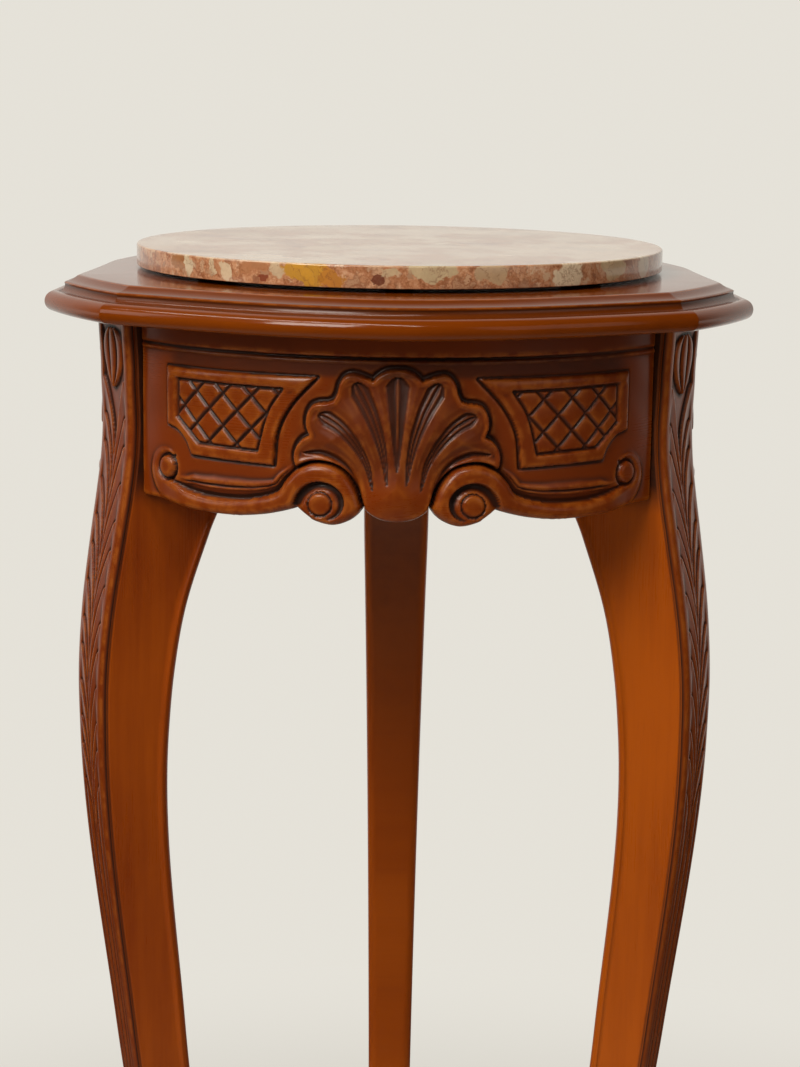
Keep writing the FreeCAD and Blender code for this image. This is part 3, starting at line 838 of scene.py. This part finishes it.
class Finish:
    """Shader nodes of a material or of the world, under construction."""

    def __init__(self, owner):
        owner.use_nodes = True
        self.owner = owner
        self.tree = owner.node_tree
        self.tree.nodes.clear()

    def node(self, kind, settings=None, sockets=None, output=0):
        """New node with its settings, then the values or links of its sockets; gives one of its outputs."""
        made = self.tree.nodes.new(kind)
        for key, value in (settings or {}).items():
            if key == "stops":
                self.set_stops(made.color_ramp, value)
            else:
                setattr(made, key, value)
        for key, value in (sockets or {}).items():
            if isinstance(value, Field):
                self.tree.links.new(value.socket, made.inputs[key])
            else:
                made.inputs[key].default_value = value
        return Field(self, made.outputs[output]) if made.outputs else None

    def set_stops(self, ramp, stops):
        """Places and colours of a ramp's stops."""
        while len(ramp.elements) < len(stops):
            ramp.elements.new(1.0)
        for element, (place, colour) in zip(ramp.elements, stops):
            element.position = place
            element.color = (*colour, 1.0)

    def attribute(self, name, output="Fac"):
        """Value that a mesh holds at its points."""
        return self.node("ShaderNodeAttribute", {"attribute_name": name}, output=output)

    def object_place(self):
        """Place on the object, in metres."""
        return self.node("ShaderNodeTexCoord", output="Object")

    def stretched(self, vector, scale):
        """Vector multiplied by a scale for each axis."""
        return self.node("ShaderNodeVectorMath", {"operation": "MULTIPLY"}, {0: vector, 1: scale})

    def shifted(self, vector, offset):
        """Sum of two vectors."""
        return self.node("ShaderNodeVectorMath", {"operation": "ADD"}, {0: vector, 1: offset})

    def length(self, vector):
        """Length of a vector."""
        return self.node("ShaderNodeVectorMath", {"operation": "LENGTH"}, {0: vector}, "Value")

    def noise(self, vector, scale, detail=3.0, roughness=0.5, output="Fac"):
        """Cloudy noise, as a value or as a colour."""
        sockets = {"Vector": vector, "Scale": scale, "Detail": detail, "Roughness": roughness}
        return self.node("ShaderNodeTexNoise", sockets=sockets, output=output)

    def ramp(self, value, stops):
        """Colour from a value, between stops."""
        return self.node("ShaderNodeValToRGB", {"stops": stops}, {"Fac": value}, "Color")

    def mixed(self, share, first, second):
        """Colour between two colours, by a share from 0 to 1."""
        sockets = {0: share, 6: self.colour(first), 7: self.colour(second)}
        return self.node("ShaderNodeMix", {"data_type": "RGBA"}, sockets, 2)

    def colour(self, value):
        """Colour for a socket, from a field or from red, green and blue."""
        return value if isinstance(value, Field) else (*value, 1.0)

    def bump(self, height, distance, strength=1.0):
        """Normal of a finely rough surface."""
        sockets = {"Height": height, "Distance": distance, "Strength": strength}
        return self.node("ShaderNodeBump", sockets=sockets, output="Normal")

    def surface(self, **sockets):
        """Principled surface from its socket names with spaces as underscores."""
        named = {}
        for key, value in sockets.items():
            named[key.replace("_", " ").title().replace("Ior", "IOR")] = value
        shader = self.node("ShaderNodeBsdfPrincipled", sockets=named)
        self.node("ShaderNodeOutputMaterial", sockets={"Surface": shader})
        return self.owner


# Tone of dark wax in hollows; the same tone also paints shade where the hollow value carries painted shade:
# beside the aprons, on the legs' inner faces, under the top's overhang and under the disc
wax = (0.014, 0.004, 0.0015)
# Tone of rubbed crests; on the top's arrises the rubbing also paints their highlights
rubbed = (0.42, 0.12, 0.014)


def wood_finish(name, light, middle, dark, stain, roughness):
    """Stained and waxed wood: grain along the third grain axis, dark wax in hollows, rubbed crests, and the
    painted shade and highlights that the hollow and crest values also carry.
    """
    wood = Finish(bpy.data.materials.new(name))
    grain = wood.attribute("grain", "Vector")
    streaks = wood.noise(wood.stretched(grain, (150.0, 150.0, 9.0)), 1.0, 4.0, 0.6)
    fine = wood.noise(wood.stretched(grain, (1500.0, 1500.0, 45.0)), 1.0, 2.0, 0.5)
    clouds = wood.noise(wood.stretched(grain, (22.0, 22.0, 9.0)), 1.0, 2.0, 0.5)
    # Each leg's tone, partly painted light; a lighter leg also gets less of the carved stain
    board = wood.attribute("board")
    tone = (streaks * 0.45 + clouds * 0.55 + board).clamped()
    base = wood.ramp(tone, ((0.30, dark), (0.50, middle), (0.68, light)))
    base = wood.mixed(fine.between(0.56, 0.74) * 0.16, base, dark)
    stained = wood.attribute("carved") * (0.75 + 0.4 * clouds - 2.0 * board)
    base = wood.mixed(stained.clamped(), base, stain)
    hollow = wood.attribute("hollow")
    patchy = wood.noise(wood.object_place(), 140.0, 3.0, 0.6)
    wax_and_shade_share = (hollow * (0.75 + 0.5 * patchy)).clamped() ** 0.8
    base = wood.mixed(wax_and_shade_share * 0.94, base, wax)
    rubbed_and_highlit = wood.attribute("crest") * patchy.between(0.35, 0.65) * (1.0 - hollow)
    base = wood.mixed((rubbed_and_highlit * 0.42).clamped(), base, rubbed)
    rough = roughness + 0.08 * clouds + 0.25 * wax_and_shade_share + 0.05 * fine
    relief = wood.bump(fine * 0.5 + streaks * 0.5, 0.0003, 0.12)
    return wood.surface(base_color=base, roughness=rough.clamped(), normal=relief, coat_weight=0.12,
                        coat_roughness=0.09, specular_ior_level=0.28)


# Marble: tones of its matrix and clasts, and the large clasts on its edge as place, half sizes along
# and up in metres, and tone
matrix_tones = ((0.36, (0.28, 0.095, 0.038)), (0.48, (0.50, 0.225, 0.11)), (0.56, (0.58, 0.31, 0.17)),
                (0.68, (0.72, 0.50, 0.33)))
clast_tones = ((0.0, (0.62, 0.41, 0.25)), (0.20, (0.52, 0.29, 0.16)), (0.38, (0.66, 0.48, 0.31)),
               (0.55, (0.47, 0.21, 0.10)), (0.70, (0.57, 0.40, 0.24)), (0.86, (0.26, 0.085, 0.042)),
               (1.0, (0.56, 0.34, 0.19)))
edge_clasts_and_light = (
    ((-0.0982, -0.077, 0.7760), (0.0070, 0.0045), (0.40, 0.17, 0.06)),
    ((-0.0930, -0.083, 0.7750), (0.0036, 0.0045), (0.66, 0.52, 0.34)),
    ((-0.0835, -0.093, 0.7745), (0.0030, 0.0042), (0.62, 0.47, 0.30)),
    ((-0.0766, -0.099, 0.7750), (0.0034, 0.0048), (0.68, 0.52, 0.34)),
    ((-0.0640, -0.107, 0.7775), (0.0080, 0.0030), (0.46, 0.20, 0.09)),
    ((-0.0600, -0.110, 0.7725), (0.0028, 0.0022), (0.24, 0.06, 0.03)),
    ((-0.0536, -0.113, 0.7755), (0.0042, 0.0036), (0.62, 0.46, 0.29)),
    ((-0.0400, -0.118, 0.7755), (0.0125, 0.0062), (0.60, 0.30, 0.035)),
    ((-0.0290, -0.121, 0.7735), (0.0080, 0.0045), (0.52, 0.21, 0.035)),
    ((-0.0100, -0.125, 0.7720), (0.0038, 0.0030), (0.17, 0.050, 0.028)),
    ((-0.0040, -0.125, 0.7757), (0.0062, 0.0026), (0.58, 0.42, 0.25)),
    ((0.0150, -0.124, 0.7785), (0.0110, 0.0042), (0.60, 0.46, 0.27)),
    ((0.0400, -0.118, 0.7755), (0.0085, 0.0050), (0.55, 0.37, 0.21)),
    # The three clasts on the right of the edge are cream clasts made lighter than the stone, which paints the
    # light that falls on that side
    ((0.0740, -0.101, 0.7755), (0.0095, 0.0062), (0.82, 0.67, 0.46)),
    ((0.0960, -0.080, 0.7750), (0.0090, 0.0055), (0.64, 0.48, 0.28)),
    ((0.1110, -0.057, 0.7755), (0.0080, 0.0060), (0.74, 0.60, 0.42)),
)


def marble_finish():
    """Polished breccia: cream, beige and brown clasts in a speckled rusty matrix, the largest ones placed."""
    stone = Finish(bpy.data.materials.new("breccia_marble"))
    place = stone.object_place()
    broad = stone.shifted(stone.noise(place, 45.0, 3.0, 0.6, "Color"), (-0.5, -0.5, -0.5))
    fine = stone.shifted(stone.noise(place, 300.0, 3.0, 0.6, "Color"), (-0.5, -0.5, -0.5))
    warped = stone.shifted(place, stone.stretched(broad, (0.016,) * 3))
    warped = stone.shifted(warped, stone.stretched(fine, (0.006,) * 3))
    mottle = stone.noise(warped, 170.0, 4.0, 0.65)
    cloud = stone.noise(place, 70.0, 4.0, 0.6)
    speck = stone.noise(place, 900.0, 3.0, 0.7)
    base = stone.ramp(mottle * 0.6 + speck * 0.4, matrix_tones)
    face_level = marble_high[2] * MM
    level = stone.node("ShaderNodeSeparateXYZ", sockets={0: place}, output="Z")
    on_face = level.between(face_level - 0.0008, face_level - 0.0001)
    clast_layers = ((210.0, 0.10, 0.16, 0.9), (66.0, 0.10, 0.20, 0.9), (44.0, 0.03, 0.14, on_face * 0.85))
    for scale, gap, spread, cover in clast_layers:
        cells = {"Vector": warped, "Scale": scale}
        tint = stone.node("ShaderNodeTexVoronoi", {"feature": "F1"}, cells, "Color")
        edge = stone.node("ShaderNodeTexVoronoi", {"feature": "DISTANCE_TO_EDGE"}, cells, "Distance")
        pick = stone.node("ShaderNodeSeparateColor", sockets={"Color": tint}, output=0)
        size = stone.node("ShaderNodeSeparateColor", sockets={"Color": tint}, output=1)
        clast = stone.ramp(pick, clast_tones)
        clast = stone.mixed(cloud.between(0.40, 0.66) * 0.5, clast, (0.54, 0.28, 0.15))
        clast = stone.mixed(speck.between(0.50, 0.72) * 0.40, clast, (0.42, 0.18, 0.085))
        inside = (edge - gap - size * spread + (speck - 0.5) * 0.16).between(0.0, 0.10)
        rim = inside * (1.0 - inside) * cloud.between(0.35, 0.60) * 2.4
        base = stone.mixed(rim, stone.mixed(inside * cover, base, clast), (0.24, 0.08, 0.035))
    for spot, (along, up), tone in edge_clasts_and_light:
        offset = stone.shifted(warped, tuple(-value for value in spot))
        away = stone.length(stone.stretched(offset, (1.0 / along, 1.0 / along, 1.0 / up)))
        inside = 1.0 - (away + (speck - 0.5) * 0.30).between(0.86, 1.0)
        shade = stone.mixed(mottle.between(0.38, 0.62) * 0.5, tone, tuple(0.72 * value for value in tone))
        base = stone.mixed(inside * (0.70 + 0.45 * speck).clamped(), base, shade)
    # Pale drifts on the top face only: a pattern in the stone, made pale on the face alone, which partly
    # paints the pale reflection that the polished face shows
    face_drift_and_reflection = stone.noise(warped, 24.0, 5.0, 0.6).between(0.44, 0.56)
    base = stone.mixed(on_face * face_drift_and_reflection * 0.5, base, (0.82, 0.68, 0.52))
    vein = 1.0 - (stone.noise(warped, 85.0, 5.0, 0.6) - 0.5).absolute().between(0.004, 0.016)
    base = stone.mixed(vein * 0.5, base, (0.22, 0.075, 0.035))
    return stone.surface(base_color=base, roughness=0.10 + 0.08 * speck, coat_weight=0.15,
                         coat_roughness=0.05)


def metal_finish():
    """Zinc-plated steel with faint turning marks and duller patches."""
    metal = Finish(bpy.data.materials.new("zinc_plate"))
    place = metal.object_place()
    patches = metal.noise(place, 180.0, 3.0, 0.6)
    marks = metal.noise(metal.stretched(place, (200.0, 200.0, 2500.0)), 1.0, 2.0)
    base = metal.mixed(patches, (0.42, 0.42, 0.43), (0.60, 0.59, 0.56))
    return metal.surface(base_color=base, metallic=1.0, roughness=0.30 + 0.2 * patches,
                         normal=metal.bump(marks, 0.0002, 0.2))


def bare_wood_finish():
    """Unfinished beech of the hidden braces and dowels, with short dark flecks."""
    wood = Finish(bpy.data.materials.new("bare_beech"))
    place = wood.object_place()
    streaks = wood.noise(wood.stretched(place, (60.0, 60.0, 260.0)), 1.0, 4.0, 0.6)
    flecks = wood.noise(wood.stretched(place, (160.0, 160.0, 1400.0)), 1.0, 2.0)
    tones = ((0.3, (0.33, 0.19, 0.09)), (0.5, (0.44, 0.27, 0.14)), (0.7, (0.52, 0.34, 0.19)))
    base = wood.mixed(flecks.between(0.60, 0.70) * 0.5, wood.ramp(streaks, tones), (0.22, 0.11, 0.05))
    return wood.surface(base_color=base, roughness=0.55 + 0.15 * streaks,
                        normal=wood.bump(flecks, 0.0002, 0.3))


def soft_plastic_finish(name, tone, lighter):
    """Moulded rubber or plastic with a fine matt texture."""
    plastic = Finish(bpy.data.materials.new(name))
    specks = plastic.noise(plastic.object_place(), 900.0, 3.0, 0.6)
    base = plastic.mixed(specks, tone, lighter)
    return plastic.surface(base_color=base, roughness=0.5 + 0.2 * specks,
                           normal=plastic.bump(specks, 0.0001, 0.3))


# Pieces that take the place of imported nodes
carved_wood = wood_finish(
    "carved_wood", light=(0.42, 0.082, 0.001), middle=(0.34, 0.061, 0.001), dark=(0.24, 0.036, 0.001),
    stain=(0.172, 0.026, 0.001), roughness=0.22)
polished_wood = wood_finish(
    "polished_wood", light=(0.33, 0.068, 0.002), middle=(0.26, 0.048, 0.0015), dark=(0.17, 0.027, 0.001),
    stain=(0.16, 0.030, 0.001), roughness=0.08)
marble = marble_finish()

for name, angle in apron_angles.items():
    points, faces, values = apron_mesh(ground_radii[name])
    add_piece(f"carved_apron_{name}", turned_about_axis(points, angle), faces, carved_wood,
              "stand", [f"apron_{name}"], values)

leg_points, leg_faces, leg_values = leg_mesh()
for name, angle in leg_angles.items():
    # Each leg's tone, which partly paints how much light falls on it
    board = np.full(len(leg_points), leg_tones_and_light[name])
    add_piece(f"carved_leg_{name}", turned_about_axis(leg_points, angle), leg_faces, carved_wood,
              "stand", [f"leg_{name}"], {**leg_values, "board": board})

top_points, top_faces, top_values = top_mesh()
add_piece("moulded_board", top_points, top_faces, polished_wood, "stand", ["moulded_top"],
          top_values, sharp_angle=32.0)

marble_points, marble_faces = marble_mesh()
add_piece("marble_disc", marble_points, marble_faces, marble, "marble", ["marble_top"],
          sharp_angle=60.0)

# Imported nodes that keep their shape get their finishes
zinc = metal_finish()
beech = bare_wood_finish()
pad_rubber = soft_plastic_finish("pad_rubber", (0.025, 0.022, 0.020), (0.05, 0.045, 0.04))
glide_plastic = soft_plastic_finish("glide_plastic", (0.05, 0.03, 0.018), (0.09, 0.055, 0.03))
kept_nodes = {
    zinc: ["hanger_bolts", "bolt_washers", "bolt_nuts", "brace_screws", "top_screws"],
    beech: ["apron_dowels"] + [f"corner_brace_{name}" for name in leg_angles],
    pad_rubber: ["marble_pads"],
    glide_plastic: [f"foot_glide_{name}" for name in leg_angles],
}
for material, names in kept_nodes.items():
    for name in names:
        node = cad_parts[name]
        node.data.materials.clear()
        node.data.materials.append(material)


# Studio, in metres: the pale background, and the dim room that reflections show in front of the stand
background = (0.785, 0.757, 0.69)
room = (0.018, 0.014, 0.010)
floor_radius = 14.0
stand_middle = (0.0, 0.0, 0.6)
lamp_tint = (1.0, 0.945, 0.86)


def backdrop(finish, behind):
    """Share of rays that see the backdrop, and its colour; in reflections only what is behind is pale."""
    glossy = finish.node("ShaderNodeLightPath", output="Is Glossy Ray")
    camera = finish.node("ShaderNodeLightPath", output="Is Camera Ray")
    through = finish.node("ShaderNodeLightPath", output="Is Transmission Ray")
    reflected = finish.mixed(behind, room, background)
    return (camera + glossy + through).clamped(), finish.mixed(glossy, background, reflected)


def floor_finish():
    """Pale floor that keeps the stand's shadow near it and fades into the background further out."""
    floor = Finish(bpy.data.materials.new("pale_floor"))
    place = floor.object_place()
    speckle = floor.noise(place, 60.0, 3.0, 0.6)
    tone = floor.mixed(speckle, (0.60, 0.575, 0.52), (0.66, 0.635, 0.575))
    matt = floor.node("ShaderNodeBsdfDiffuse", sockets={"Color": tone})
    backward = floor.node("ShaderNodeSeparateXYZ", sockets={0: place}, output="Y")
    seen, colour = backdrop(floor, backward.between(0.6, 1.7))
    glow = floor.node("ShaderNodeEmission", sockets={"Color": colour})
    share = seen * (0.35 + 0.65 * floor.length(place).between(0.35, 1.1))
    faded = floor.node("ShaderNodeMixShader", sockets={0: share, 1: matt, 2: glow})
    floor.node("ShaderNodeOutputMaterial", sockets={"Surface": faded})
    return floor.owner


def add_floor():
    """Round floor under the glides."""
    turns = np.linspace(0.0, 2 * np.pi, 96, endpoint=False)
    points = [(floor_radius * math.cos(turn), floor_radius * math.sin(turn), 0.0) for turn in turns]
    mesh = bpy.data.meshes.new("studio_floor")
    mesh.from_pydata(points, [], [list(range(len(points)))])
    mesh.materials.append(floor_finish())
    floor = bpy.data.objects.new("studio_floor", mesh)
    bpy.context.scene.collection.objects.link(floor)


def add_world():
    """Pale background for the camera; reflections see it behind the stand and a dimmer room in front."""
    studio = Finish(bpy.data.worlds.new("studio"))
    direction = studio.node("ShaderNodeTexCoord", output="Generated")
    backward = studio.node("ShaderNodeSeparateXYZ", sockets={0: direction}, output="Y")
    seen, colour = backdrop(studio, backward.between(0.25, 0.65))
    shown = studio.node("ShaderNodeBackground", sockets={"Color": colour})
    ambient = studio.node("ShaderNodeBackground", sockets={"Color": (1.0, 0.95, 0.87, 1.0), "Strength": 0.19})
    both = studio.node("ShaderNodeMixShader", sockets={0: seen, 1: ambient, 2: shown})
    studio.node("ShaderNodeOutputWorld", sockets={"Surface": both})
    bpy.context.scene.world = studio.owner


def add_lamp(name, place, size, power):
    """Rectangular lamp that faces the middle of the stand."""
    lamp = bpy.data.lights.new(name, "AREA")
    lamp.shape = "RECTANGLE"
    lamp.size, lamp.size_y = size
    lamp.energy = power
    lamp.color = lamp_tint
    holder = bpy.data.objects.new(name, lamp)
    holder.location = place
    holder.rotation_euler = (Vector(stand_middle) - Vector(place)).to_track_quat("-Z", "Y").to_euler()
    bpy.context.scene.collection.objects.link(holder)


# Camera: lens on a 36 mm film height, place in millimetres, angles in degrees
camera_place = (0.0, -1210.6, 872.8)
camera_lens = 85.2
camera_film = 36.0
camera_down = 10.933
camera_right = 0.09
camera_roll = 0.75


def add_camera():
    """Camera that was fitted to the photograph."""
    data = bpy.data.cameras.new("photograph")
    data.sensor_fit = "VERTICAL"
    data.sensor_height = camera_film
    data.lens = camera_lens
    camera = bpy.data.objects.new("photograph", data)
    turn = Matrix.Rotation(math.radians(-camera_right), 4, "Z")
    turn = turn @ Matrix.Rotation(math.radians(90.0 - camera_down), 4, "X")
    turn = turn @ Matrix.Rotation(math.radians(camera_roll), 4, "Z")
    camera.matrix_world = Matrix.Translation(Vector(camera_place) * MM) @ turn
    bpy.context.scene.collection.objects.link(camera)
    bpy.context.scene.camera = camera


add_floor()
add_world()
add_lamp("window", place=(-1.40, -1.95, 2.35), size=(1.1, 1.2), power=49.0)
add_lamp("side_window", place=(-2.35, -0.65, 1.6), size=(0.6, 1.2), power=5.5)
add_lamp("strip", place=(-0.6, -0.78, 2.3), size=(2.4, 0.18), power=18.0)
add_lamp("fill", place=(1.7, -1.5, 1.4), size=(1.4, 1.4), power=3.5)
add_camera()
bpy.context.scene.view_settings.view_transform = "Standard"
